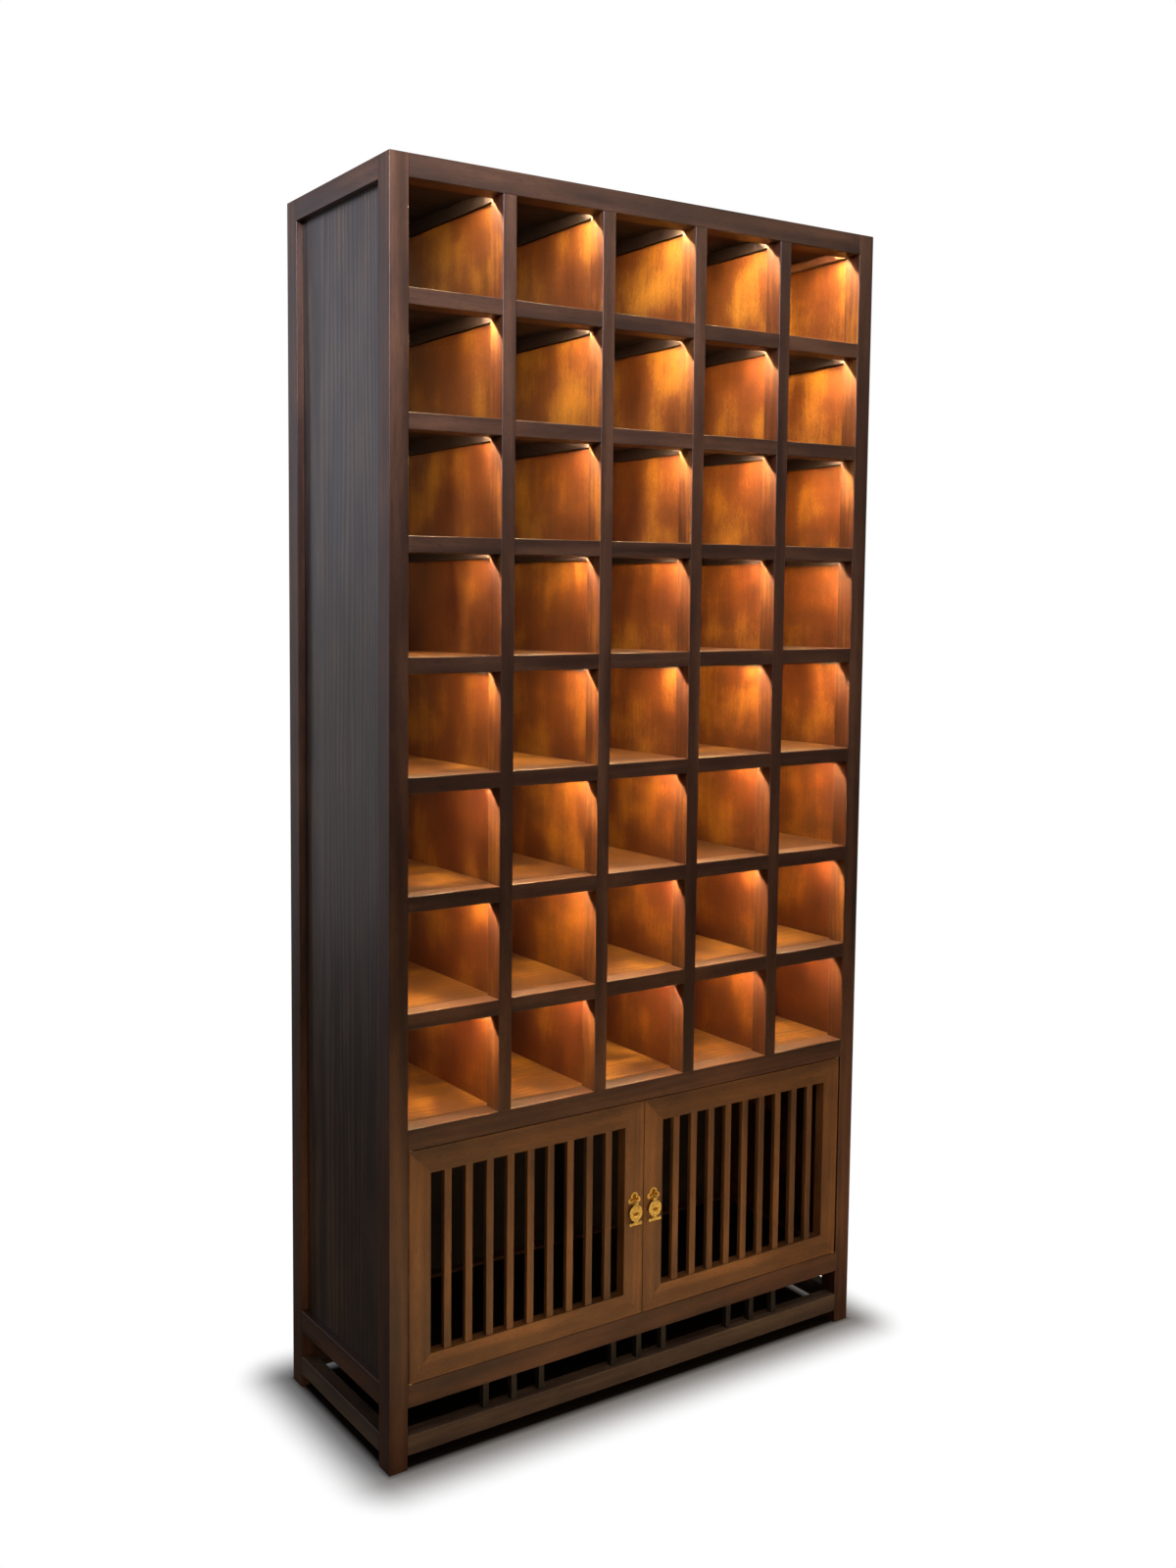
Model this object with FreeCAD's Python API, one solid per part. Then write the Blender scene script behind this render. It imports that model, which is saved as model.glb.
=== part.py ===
import FreeCAD, Part
import os

from FreeCAD import Vector

# Tall lit display cabinet: a post and rail frame, a lattice of forty open cells above,
# and a cupboard with two slatted doors below. Millimetres, +Z up, front towards -Y,
# origin on the floor under the middle of the cabinet and its handles.

# Overall size and the corner posts
width = 1200.0
depth = 400.0
height = 2400.0
post_size = 40.0
arris = 1.5
fine_arris = 0.8

# Heights of the frame, from the floor up
floor_clearance = 28.0
stretcher_height = 38.0
stretcher_depth = 30.0
base_gap_height = 54.0
lower_rail_height = 44.0
door_opening_height = 448.0
head_rail_height = 40.0
top_rail_height = 42.0

# Joints between the frame's members
groove_depth = 8.0
tenon_thickness = 14.0
tenon_margin = 2.0
tenon_end_gap = 1.0
joint_clearance = 0.1

# Lattice of cells
columns = 5
rows = 8
lattice_post_width = 30.0
shelf_rail_height = 30.0

# Panels and what carries them
panel_thickness = 12.0
side_panel_setback = 15.0
back_panel_thickness = 9.0
back_panel_setback = 12.0
top_panel_thickness = 18.0
panel_inset = 6.0
divider_thickness = 14.0
bearer_drop = 6.0

# Struts in the gap between the lower rail and the front stretcher
strut_groups = 3
struts_per_group = 3
strut_width = 13.0
strut_pitch = 66.0
strut_setback = 8.0

# Light bar under each shelf, just behind the front rail, with a narrow diffuser below it
light_bar_from_rail = 1.5
light_bar_width = 14.0
light_bar_height = 7.0
diffuser_width = 1.6
diffuser_thickness = 0.8
light_end_gap = 0.5

# Doors
door_thickness = 22.0
door_gap = 1.5
meeting_gap = 2.0
stile_width = 48.0
slat_count = 9
slat_width = 16.0
slat_thickness = 10.0
slat_setback = 3.0

# Door pivots: a pin in each end of the hinge stile, turning in a flanged bush
pivot_inset = 6.0
pin_radius = 2.5
pin_running_clearance = 0.05
pin_in_door = 20.0
bush_radius = 4.0
bush_length = 10.0
bush_flange_radius = 5.4
end_play = 0.3

# Magnetic catches under the head rail
catch_length = 40.0
catch_depth = 14.0
catch_height = 12.0
catch_from_middle = 60.0
strike_thickness = 1.2
catch_air_gap = 0.3

# Brass drop handles
plate_thickness = 1.8
plate_top_radius = 9.0
plate_top_rise = 13.0
plate_side_radius = 6.0
plate_side_offset = 10.0
plate_side_rise = 5.0
plate_foot_radius = 6.5
hollow_depth = 0.8
hollow_top_radius = 5.0
hollow_top_rise = 14.0
hollow_side_radius = 3.4
hollow_side_offset = 7.5
hollow_side_rise = 7.0
hollow_middle_radius = 4.6
hollow_middle_rise = 9.0
handle_pin_above_centre = 15.0
handle_reach = 7.0
ear_radius = 3.0
ear_thickness = 2.0
ear_side_gap = 0.3
eye_length = 5.4
handle_pin_radius = 1.3
handle_pin_clearance = 0.06
handle_pin_overhang = 0.6
pendant_thickness = 3.0
ring_half_width = 16.5
ring_half_height = 17.0
ring_drop = 20.0
ring_rim = 3.2
field_depth = 0.7
window_half_width = 7.5
window_half_height = 3.2
window_drop = 21.5
window_floor = 1.0
bead_radius = 2.8
bead_drop = 12.5
bead_rise = 0.4
waist_width = 13.0
foot_width = 34.0
foot_height = 7.5
foot_drop = 38.5
handle_stud_radius = 2.0
handle_stud_rise = 10.0
handle_hole_clearance = 0.2
nut_across_corners = 8.0
nut_height = 3.2
nut_sides = 6
rest_stud_radius = 2.5

# Light driver and cable outlet at the back of the cupboard
driver_length = 180.0
driver_height = 52.0
driver_depth = 30.0
driver_arris = 2.0
driver_from_top = 45.0
outlet_radius = 18.0
outlet_wall = 4.0
outlet_flange_width = 6.0
outlet_flange_thickness = 2.0
outlet_below_driver = 35.0

# Places worked out from the sizes above
handle_projection = handle_reach + ear_radius
left = -width / 2
right = width / 2
front = (handle_projection - depth) / 2
back = front + depth
inner_left = left + post_size
inner_right = right - post_size
inner_front = front + post_size
inner_back = back - post_size
inner_width = inner_right - inner_left

stretcher_top = floor_clearance + stretcher_height
lower_rail_bottom = stretcher_top + base_gap_height
door_bottom = lower_rail_bottom + lower_rail_height
door_top = door_bottom + door_opening_height
cupboard_top = door_top + head_rail_height
top_rail_bottom = height - top_rail_height

cell_width = (inner_width - (columns - 1) * lattice_post_width) / columns
cell_height = (top_rail_bottom - cupboard_top - (rows - 1) * shelf_rail_height) / rows
row_pitch = cell_height + shelf_rail_height
column_pitch = cell_width + lattice_post_width

side_face = left + side_panel_setback
side_inner_face = side_face + panel_thickness
back_inner_face = back - back_panel_setback - back_panel_thickness
ceiling_recess = shelf_rail_height - panel_thickness
top_panel_top = height - panel_inset
top_panel_bottom = top_panel_top - top_panel_thickness
cupboard_floor_top = door_bottom - panel_inset
cupboard_floor_bottom = cupboard_floor_top - panel_thickness
tenon_length = (post_size - tenon_thickness) / 2 - tenon_end_gap
tenon_shoulder = groove_depth + tenon_margin

floor_levels = [cupboard_top + row * row_pitch for row in range(rows)]
divider_lines = [inner_left + (n + 1) * column_pitch - lattice_post_width / 2 for n in range(columns - 1)]

pieces = {}
straight_enough = 0.999


def box(x0, x1, y0, y1, z0, z1):
    return Part.makeBox(x1 - x0, y1 - y0, z1 - z0, Vector(x0, y0, z0))


def long_edges(solid, direction):
    """The straight edges of a solid that run along one axis."""
    found = []
    for edge in solid.Edges:
        along = edge.tangentAt(edge.FirstParameter)
        if abs(along.dot(direction)) > straight_enough:
            found.append(edge)
    return found


def bar(x0, x1, y0, y1, z0, z1, radius=arris):
    """A squared length of wood with its four long edges eased."""
    solid = box(x0, x1, y0, y1, z0, z1)
    spans = [(x1 - x0, Vector(1, 0, 0)), (y1 - y0, Vector(0, 1, 0)), (z1 - z0, Vector(0, 0, 1))]
    direction = max(spans, key=lambda span: span[0])[1]
    return solid.makeFillet(radius, long_edges(solid, direction))


def grown(solid, clearance):
    """A box larger than a solid's own by a clearance on every side."""
    b = solid.BoundBox
    return box(b.XMin - clearance, b.XMax + clearance, b.YMin - clearance, b.YMax + clearance,
               b.ZMin - clearance, b.ZMax + clearance)


def cylinder(radius, length, start, direction):
    return Part.makeCylinder(radius, length, start, direction)


def mirrored(solid):
    """The same piece on the other side of the cabinet."""
    return solid.mirror(Vector(0, 0, 0), Vector(1, 0, 0))


def tenons_of(rail, axis):
    """The two tenons of a rail that runs along X or Y, centred in its section."""
    b = rail.BoundBox
    half = tenon_thickness / 2
    z0 = b.ZMin + tenon_shoulder
    z1 = b.ZMax - tenon_shoulder
    if axis == "x":
        middle = (b.YMin + b.YMax) / 2
        spans = [(b.XMin - tenon_length, b.XMin), (b.XMax, b.XMax + tenon_length)]
        return [box(x0, x1, middle - half, middle + half, z0, z1) for x0, x1 in spans]
    middle = (b.XMin + b.XMax) / 2
    spans = [(b.YMin - tenon_length, b.YMin), (b.YMax, b.YMax + tenon_length)]
    return [box(middle - half, middle + half, y0, y1, z0, z1) for y0, y1 in spans]


# Corner posts, mortised for the rails once those are made
def post(x0, y0):
    solid = box(x0, x0 + post_size, y0, y0 + post_size, 0, height)
    return solid.makeFillet(arris, solid.Edges)


posts = {
    "front_post_left": post(left, front),
    "front_post_right": post(inner_right, front),
    "back_post_left": post(left, inner_back),
    "back_post_right": post(inner_right, inner_back),
}

# Rails of the front and the back, then the two sides, each with a tenon at both ends
rails = {
    "top_front_rail": [bar(inner_left, inner_right, front, inner_front, top_rail_bottom, height)],
    "top_back_rail": [bar(inner_left, inner_right, inner_back, back, top_rail_bottom, height)],
    "door_head_rail": [bar(inner_left, inner_right, front, inner_front, door_top, cupboard_top)],
    "back_middle_rail": [bar(inner_left, inner_right, inner_back, back, door_top, cupboard_top)],
    "lower_front_rail": [bar(inner_left, inner_right, front, inner_front, lower_rail_bottom, door_bottom)],
    "lower_back_rail": [bar(inner_left, inner_right, inner_back, back, lower_rail_bottom, door_bottom)],
    "floor_stretcher_front": [bar(inner_left, inner_right, front, front + stretcher_depth,
                                  floor_clearance, stretcher_top)],
    "floor_stretcher_back": [bar(inner_left, inner_right, back - stretcher_depth, back,
                                 floor_clearance, stretcher_top)],
}
side_rail_levels = {
    "top_side_rails": (top_rail_bottom, height, post_size),
    "lower_side_rails": (lower_rail_bottom, door_bottom, post_size),
    "floor_stretchers_side": (floor_clearance, stretcher_top, stretcher_depth),
}
for name, (z0, z1, thickness) in side_rail_levels.items():
    one = bar(left, left + thickness, inner_front, inner_back, z0, z1)
    rails[name] = [one, mirrored(one)]

mortises = []
for name, members in rails.items():
    axis = "y" if name in side_rail_levels else "x"
    finished = []
    for member in members:
        tenons = tenons_of(member, axis)
        mortises += [grown(tenon, joint_clearance) for tenon in tenons]
        finished.append(member.fuse(tenons).removeSplitter())
    rails[name] = finished

# Panels that sit in grooves all round: the two sides, the back in two parts, the top and
# the cupboard's floor
side_panel = box(side_face, side_inner_face, inner_front - groove_depth, inner_back + groove_depth,
                 door_bottom - groove_depth, top_rail_bottom + groove_depth)
grooved_panels = {
    "side_panel_left": side_panel,
    "side_panel_right": mirrored(side_panel),
    "back_panel_upper": box(inner_left - groove_depth, inner_right + groove_depth, back_inner_face,
                            back_inner_face + back_panel_thickness, cupboard_top - groove_depth,
                            top_rail_bottom + groove_depth),
    "back_panel_lower": box(inner_left - groove_depth, inner_right + groove_depth, back_inner_face,
                            back_inner_face + back_panel_thickness, door_bottom - groove_depth,
                            door_top + groove_depth),
    "top_panel": box(inner_left - groove_depth, inner_right + groove_depth, inner_front - groove_depth,
                     inner_back + groove_depth, top_panel_bottom, top_panel_top),
    "cupboard_floor": box(inner_left - groove_depth, inner_right + groove_depth, inner_front - groove_depth,
                          inner_back + groove_depth, cupboard_floor_bottom, cupboard_floor_top),
}
grooves = [grown(panel, joint_clearance) for panel in grooved_panels.values()]


def housed(member, cutters):
    """A post or rail with the grooves and mortises that reach into it cut out."""
    for cutter in cutters:
        if member.common(cutter).Volume > 0:
            member = member.cut(cutter)
    return member


for name, member in posts.items():
    pieces[name] = [housed(member, grooves + mortises)]
for name, members in rails.items():
    pieces[name] = [housed(member, grooves) for member in members]

# Lattice posts stand on the head rail and carry the short rails between them
pieces["lattice_posts"] = []
for x in divider_lines:
    pieces["lattice_posts"].append(bar(x - lattice_post_width / 2, x + lattice_post_width / 2,
                                       front, inner_front, cupboard_top, top_rail_bottom))

pieces["shelf_front_rails"] = []
for level in floor_levels[1:]:
    for column in range(columns):
        x0 = inner_left + column * column_pitch
        pieces["shelf_front_rails"].append(bar(x0, x0 + cell_width, front, inner_front,
                                               level - shelf_rail_height, level))

# Shelf panels run from side to side and are notched round the back posts
back_post_room = [box(left, inner_left, inner_back, back, 0, height),
                  box(inner_right, right, inner_back, back, 0, height)]
shelf = box(side_inner_face, -side_inner_face, inner_front, back_inner_face,
            floor_levels[1] - panel_thickness, floor_levels[1]).cut(back_post_room)
pieces["shelf_panels"] = [shelf.translated(Vector(0, 0, n * row_pitch)) for n in range(rows - 1)]
pieces["cupboard_top_panel"] = [box(side_inner_face, -side_inner_face, inner_front, inner_back,
                                    cupboard_top - panel_thickness, cupboard_top)]

# Bearers run from front to back under every panel, below each line of dividers, and
# along both sides
bearer_height = ceiling_recess + bearer_drop
bearer_spans = [(level - panel_thickness, back_inner_face) for level in floor_levels[1:]]
bearer_spans += [(level, inner_back) for level in (top_panel_bottom, cupboard_top - panel_thickness,
                                                   cupboard_floor_bottom)]
pieces["shelf_bearers"] = []
for top, rear in bearer_spans:
    for x in divider_lines:
        pieces["shelf_bearers"].append(box(x - lattice_post_width / 2, x + lattice_post_width / 2,
                                           inner_front, rear, top - bearer_height, top))
pieces["side_bearers"] = []
for level in floor_levels:
    top = level - panel_thickness
    ledge = box(side_inner_face, inner_left, inner_front, inner_back, top - bearer_height, top)
    pieces["side_bearers"] += [ledge, mirrored(ledge)]

# Upright dividers stand on each panel and stop under the bearers above
bearer_bottoms = [level - panel_thickness - bearer_height for level in floor_levels[1:]]
bearer_bottoms.append(top_panel_bottom - bearer_height)
pieces["dividers"] = []
for level, stop in zip(floor_levels, bearer_bottoms):
    for x in divider_lines:
        pieces["dividers"].append(box(x - divider_thickness / 2, x + divider_thickness / 2,
                                      inner_front, back_inner_face, level, stop))

# Groups of struts under the lower rail, with equal gaps between groups and posts
group_span = (struts_per_group - 1) * strut_pitch
group_gap = (inner_width - strut_groups * group_span) / (strut_groups + 1)
pieces["base_struts"] = []
for group in range(strut_groups):
    for n in range(struts_per_group):
        x = inner_left + group_gap + group * (group_span + group_gap) + n * strut_pitch
        pieces["base_struts"].append(bar(x - strut_width / 2, x + strut_width / 2, front + strut_setback,
                                         front + strut_setback + strut_width, stretcher_top,
                                         lower_rail_bottom, fine_arris))

# Light bars, one over each cell: a bar on the underside of the panel, and a diffuser along
# its middle. The front rail hides them and cuts their light off at 45 degrees.
light_front = inner_front + light_bar_from_rail
diffuser_front = light_front + (light_bar_width - diffuser_width) / 2
ceilings = [level - panel_thickness for level in floor_levels[1:]] + [top_panel_bottom]
pieces["light_bars"] = []
pieces["light_diffusers"] = []
for ceiling in ceilings:
    light_bottom = ceiling - light_bar_height
    for column in range(columns):
        x0 = inner_left + column * column_pitch + light_end_gap
        x1 = x0 + cell_width - 2 * light_end_gap
        pieces["light_bars"].append(bar(x0, x1, light_front, light_front + light_bar_width,
                                        light_bottom, ceiling, fine_arris))
        pieces["light_diffusers"].append(box(x0, x1, diffuser_front, diffuser_front + diffuser_width,
                                             light_bottom - diffuser_thickness, light_bottom))

# Left door, in its own pieces; the right door is its mirror image
door_left = inner_left + door_gap
door_right = -meeting_gap / 2
door_low = door_bottom + door_gap
door_high = door_top - door_gap
door_back = front + door_thickness
pivot_x = door_left + pivot_inset
pivot_y = front + pivot_inset
pin_in_frame = bush_length - end_play

blank = box(door_left, door_right, front, door_back, door_low, door_high)
hinge_arris = [edge for edge in long_edges(blank, Vector(0, 0, 1))
               if edge.BoundBox.XMax < pivot_x and edge.BoundBox.YMax < pivot_y]
blank = blank.makeFillet(pivot_inset, hinge_arris)
window = box(door_left + stile_width, door_right - stile_width, front, door_back,
             door_low + stile_width, door_high - stile_width)
door_frame = blank.cut(window)


def mitred(points):
    """The part of the door frame that lies inside an outline given in X and Z."""
    outline = [Vector(x, front, z) for x, z in points]
    prism = Part.Face(Part.makePolygon(outline + outline[:1])).extrude(Vector(0, door_thickness, 0))
    return door_frame.common(prism)


outer = [(door_left, door_low), (door_right, door_low), (door_right, door_high), (door_left, door_high)]
sight_left = door_left + stile_width
sight_right = door_right - stile_width
sight_low = door_low + stile_width
sight_high = door_high - stile_width
inner = [(sight_left, sight_low), (sight_right, sight_low), (sight_right, sight_high),
         (sight_left, sight_high)]
hinge_stile = mitred([outer[0], inner[0], inner[3], outer[3]])
meeting_stile = mitred([outer[1], inner[1], inner[2], outer[2]])
door_bottom_rail = mitred([outer[0], outer[1], inner[1], inner[0]])
door_top_rail = mitred([outer[3], outer[2], inner[2], inner[3]])

# Pivot pins, driven into the hinge stile through the tips of the mitred rails
up = Vector(0, 0, 1)
lower_pin = cylinder(pin_radius, pin_in_door + door_gap + pin_in_frame,
                     Vector(pivot_x, pivot_y, door_bottom - pin_in_frame), up)
upper_pin = cylinder(pin_radius, pin_in_door + door_gap + pin_in_frame,
                     Vector(pivot_x, pivot_y, door_high - pin_in_door), up)
hinge_stile = hinge_stile.cut([lower_pin, upper_pin])
door_bottom_rail = door_bottom_rail.cut(lower_pin)
door_top_rail = door_top_rail.cut(upper_pin)

# Flanged bushes in the two rails; the flange keeps the door off the rail
flange_thickness = door_gap - end_play


def bush(face_z, into_rail):
    """A bush whose body runs into the rail from its face, with a flange on the door's side."""
    centre = Vector(pivot_x, pivot_y, face_z)
    body = cylinder(bush_radius, bush_length, centre, into_rail)
    flange = cylinder(bush_flange_radius, flange_thickness, centre, -into_rail)
    bore_start = centre - into_rail * flange_thickness
    bore = cylinder(pin_radius + pin_running_clearance, bush_length + flange_thickness, bore_start,
                    into_rail)
    return body.fuse(flange).removeSplitter().cut(bore), body


lower_bush, lower_seat = bush(door_bottom, -up)
upper_bush, upper_seat = bush(door_top, up)
pieces["pivot_bushes"] = [lower_bush, upper_bush, mirrored(lower_bush), mirrored(upper_bush)]
pieces["lower_front_rail"] = [pieces["lower_front_rail"][0].cut([lower_seat, mirrored(lower_seat)])]
pieces["door_head_rail"] = [pieces["door_head_rail"][0].cut([upper_seat, mirrored(upper_seat)])]

# Slats between the door's top and bottom rails, with equal gaps
opening_width = door_right - door_left - 2 * stile_width
slat_gap = (opening_width - slat_count * slat_width) / (slat_count + 1)
slats = []
for n in range(slat_count):
    x0 = door_left + stile_width + slat_gap + n * (slat_width + slat_gap)
    slats.append(bar(x0, x0 + slat_width, front + slat_setback, front + slat_setback + slat_thickness,
                     door_low + stile_width, door_high - stile_width, fine_arris))

# Magnetic catch under the head rail, and its strike on the back of the door
strike_back = door_back + strike_thickness
catch_front = strike_back + catch_air_gap
catch_x0 = -catch_from_middle - catch_length / 2
catch = box(catch_x0, catch_x0 + catch_length, catch_front, catch_front + catch_depth,
            door_top - catch_height, door_top)
catch = catch.makeFillet(fine_arris, long_edges(catch, Vector(1, 0, 0))[:2])
strike = box(catch_x0, catch_x0 + catch_length, door_back, strike_back, door_high - catch_height, door_high)
pieces["catch_bodies"] = [catch, mirrored(catch)]

# Drop handle, drawn flat with its pin at the origin, then stood up on the meeting stile.
# In the flat drawing X is across, Y is up the door and Z comes out of it.
across = Vector(1, 0, 0)
outwards = Vector(0, 0, 1)
handle_x = door_right - stile_width / 2
handle_z = (door_low + door_high) / 2 + handle_pin_above_centre


def disc(x, y, radius, thickness, z=0):
    return cylinder(radius, thickness, Vector(x, y, z), outwards)


def oval(centre_y, half_width, half_height, z0, thickness):
    centre = Vector(0, centre_y, z0)
    axes = [Vector(half_width, 0, 0), Vector(0, half_height, 0)]
    long_axis, short_axis = sorted(axes, key=lambda axis: -axis.Length)
    curve = Part.Ellipse(centre + long_axis, centre + short_axis, centre)
    return Part.Face(Part.Wire(curve.toShape())).extrude(Vector(0, 0, thickness))


def stood_up(solid):
    """A handle piece turned upright and moved to its place on the door's face."""
    turned = solid.copy()
    turned.rotate(Vector(0, 0, 0), across, 90)
    return turned.translated(Vector(handle_x, front, handle_z))


# Back plate of four lobes with a hollow, two ears for the pin and a stud through the stile
plate = disc(0, plate_top_rise, plate_top_radius, plate_thickness)
plate = plate.fuse([disc(plate_side_offset, plate_side_rise, plate_side_radius, plate_thickness),
                    disc(-plate_side_offset, plate_side_rise, plate_side_radius, plate_thickness),
                    disc(0, 0, plate_foot_radius, plate_thickness)]).removeSplitter()
hollow_floor = plate_thickness - hollow_depth
hollow_lobes = [(0, hollow_top_rise, hollow_top_radius),
                (hollow_side_offset, hollow_side_rise, hollow_side_radius),
                (-hollow_side_offset, hollow_side_rise, hollow_side_radius),
                (0, hollow_middle_rise, hollow_middle_radius)]
hollows = [disc(x, y, radius, hollow_depth, hollow_floor) for x, y, radius in hollow_lobes]
hollow = hollows[0].fuse(hollows[1:])
plate = plate.cut(hollow.removeSplitter())
ear_inner = eye_length / 2 + ear_side_gap
handle_pin_half = ear_inner + ear_thickness + handle_pin_overhang
ear = box(ear_inner, ear_inner + ear_thickness, -ear_radius, ear_radius, 0, handle_reach)
ear = ear.fuse(cylinder(ear_radius, ear_thickness, Vector(ear_inner, 0, handle_reach), across))
pin_start = Vector(-handle_pin_half, 0, handle_reach)
handle_pin = cylinder(handle_pin_radius, 2 * handle_pin_half, pin_start, across)
stud_length = door_thickness + nut_height
stud = disc(0, handle_stud_rise, handle_stud_radius, stud_length, -stud_length)
plate = plate.fuse([ear, mirrored(ear), stud]).removeSplitter().cut(handle_pin)

# Hexagonal nut on the stud, behind the stile
corners = [Vector(nut_across_corners / 2, 0, 0)]
turn = FreeCAD.Rotation(outwards, 360 / nut_sides)
for n in range(nut_sides - 1):
    corners.append(turn.multVec(corners[-1]))
nut = Part.Face(Part.makePolygon(corners + corners[:1])).extrude(Vector(0, 0, nut_height))
nut = nut.translated(Vector(0, handle_stud_rise, -stud_length)).cut(stud)
stud_hole = disc(0, handle_stud_rise, handle_stud_radius + handle_hole_clearance,
                 door_thickness, -door_thickness)

# Pendant: an eye on the pin, an oval with a raised rim, a bead and a sunk window, and a foot
pendant_back = handle_reach - pendant_thickness / 2
eye = cylinder(ear_radius, eye_length, Vector(-eye_length / 2, 0, handle_reach), across)
neck = box(-eye_length / 2, eye_length / 2, -ring_drop, 0, pendant_back, pendant_back + pendant_thickness)
ring = oval(-ring_drop, ring_half_width, ring_half_height, pendant_back, pendant_thickness)
waist = box(-waist_width / 2, waist_width / 2, -foot_drop, -ring_drop, pendant_back,
            pendant_back + pendant_thickness)
foot_radius = foot_height / 2
foot = box(-foot_width / 2 + foot_radius, foot_width / 2 - foot_radius, -foot_drop - foot_height, -foot_drop,
           pendant_back, pendant_back + pendant_thickness)
foot_ends = [disc(side * (foot_width / 2 - foot_radius), -foot_drop - foot_radius, foot_radius,
                  pendant_thickness, pendant_back) for side in (-1, 1)]
pendant = eye.fuse([neck, ring, waist, foot] + foot_ends).removeSplitter()
pendant_front = pendant_back + pendant_thickness
field = oval(-ring_drop, ring_half_width - ring_rim, ring_half_height - ring_rim,
             pendant_front - field_depth, field_depth)
window = oval(-window_drop, window_half_width, window_half_height, pendant_back + window_floor,
              pendant_thickness - window_floor)
eye_hole = cylinder(handle_pin_radius + handle_pin_clearance, eye_length,
                    Vector(-eye_length / 2, 0, handle_reach), across)
bead = disc(0, -bead_drop, bead_radius, field_depth + bead_rise, pendant_front - field_depth)
pendant = pendant.cut(field).cut(window).fuse(bead).removeSplitter().cut(eye_hole)

# Small stud that the pendant's foot hangs against
rest_stud = disc(0, -foot_drop - foot_radius, rest_stud_radius, pendant_back - end_play)

meeting_stile = meeting_stile.cut(stood_up(stud_hole))
left_door_pieces = {
    "door_hinge_stile": [hinge_stile],
    "door_meeting_stile": [meeting_stile],
    "door_top_rail": [door_top_rail],
    "door_bottom_rail": [door_bottom_rail],
    "door_slats": slats,
    "door_pivot_pins": [lower_pin, upper_pin],
    "door_strike": [strike],
    "handle_plate": [stood_up(plate)],
    "handle_pendant": [stood_up(pendant)],
    "handle_pin": [stood_up(handle_pin)],
    "handle_nut": [stood_up(nut)],
    "handle_rest": [stood_up(rest_stud)],
}
for name, solids in left_door_pieces.items():
    pieces["left_" + name] = solids
    pieces["right_" + name] = [mirrored(solid) for solid in solids]

# Light driver on the middle of the back panel, high in the cupboard
driver_z1 = door_top - driver_from_top
driver = box(-driver_length / 2, driver_length / 2, back_inner_face - driver_depth, back_inner_face,
             driver_z1 - driver_height, driver_z1)
pieces["light_driver"] = [driver.makeFillet(driver_arris, long_edges(driver, Vector(1, 0, 0)))]

# Cable outlet under the driver: a flanged grommet through the lower back panel
outlet_z = driver_z1 - driver_height - outlet_below_driver
outlet_centre = Vector(0, back_inner_face - outlet_flange_thickness, outlet_z)
rearwards = Vector(0, 1, 0)
grommet_length = outlet_flange_thickness + back_panel_thickness
outlet_hole = cylinder(outlet_radius + outlet_wall, grommet_length, outlet_centre, rearwards)
flange_radius = outlet_radius + outlet_wall + outlet_flange_width
grommet_flange = cylinder(flange_radius, outlet_flange_thickness, outlet_centre, rearwards)
grommet = outlet_hole.fuse(grommet_flange).removeSplitter()
grommet = grommet.cut(cylinder(outlet_radius, grommet_length, outlet_centre, rearwards))
pieces["cable_grommet"] = [grommet]
grooved_panels["back_panel_lower"] = grooved_panels["back_panel_lower"].cut(outlet_hole)
for name, panel in grooved_panels.items():
    pieces[name] = [panel]

os.makedirs("parts", exist_ok=True)
for name, solids in pieces.items():
    shape = solids[0] if len(solids) == 1 else Part.makeCompound(solids)
    shape.exportStep(os.path.join("parts", name + ".step"))

count = sum(len(shape.Solids) for solids in pieces.values() for shape in solids)
print("nodes", len(pieces), "solids", count)
print("cell", round(cell_width, 2), "by", round(cell_height, 2), "slat gap", round(slat_gap, 2),
      "strut gap", round(group_gap, 2))
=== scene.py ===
import bpy
import bmesh
from math import asin, cos, pi, radians, sin
from mathutils import Matrix, Vector


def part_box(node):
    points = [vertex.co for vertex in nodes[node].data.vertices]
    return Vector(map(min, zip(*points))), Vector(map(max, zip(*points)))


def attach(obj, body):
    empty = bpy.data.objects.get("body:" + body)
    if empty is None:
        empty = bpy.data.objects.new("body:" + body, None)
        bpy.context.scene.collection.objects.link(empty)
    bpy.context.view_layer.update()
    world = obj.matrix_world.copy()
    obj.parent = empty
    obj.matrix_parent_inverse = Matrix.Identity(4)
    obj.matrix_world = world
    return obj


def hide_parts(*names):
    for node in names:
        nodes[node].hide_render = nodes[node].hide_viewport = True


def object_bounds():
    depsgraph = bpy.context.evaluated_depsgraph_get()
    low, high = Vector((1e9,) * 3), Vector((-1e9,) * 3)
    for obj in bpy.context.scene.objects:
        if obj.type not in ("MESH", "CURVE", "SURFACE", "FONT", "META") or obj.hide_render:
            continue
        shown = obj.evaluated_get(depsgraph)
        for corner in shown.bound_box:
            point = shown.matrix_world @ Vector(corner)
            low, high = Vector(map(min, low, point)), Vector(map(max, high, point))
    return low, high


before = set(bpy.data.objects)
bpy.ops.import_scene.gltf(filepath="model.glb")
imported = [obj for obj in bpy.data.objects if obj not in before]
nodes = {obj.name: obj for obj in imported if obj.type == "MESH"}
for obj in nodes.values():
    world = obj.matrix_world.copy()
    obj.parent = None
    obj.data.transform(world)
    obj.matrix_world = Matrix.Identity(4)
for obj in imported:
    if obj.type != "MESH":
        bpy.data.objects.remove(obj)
cad_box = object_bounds()


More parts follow.
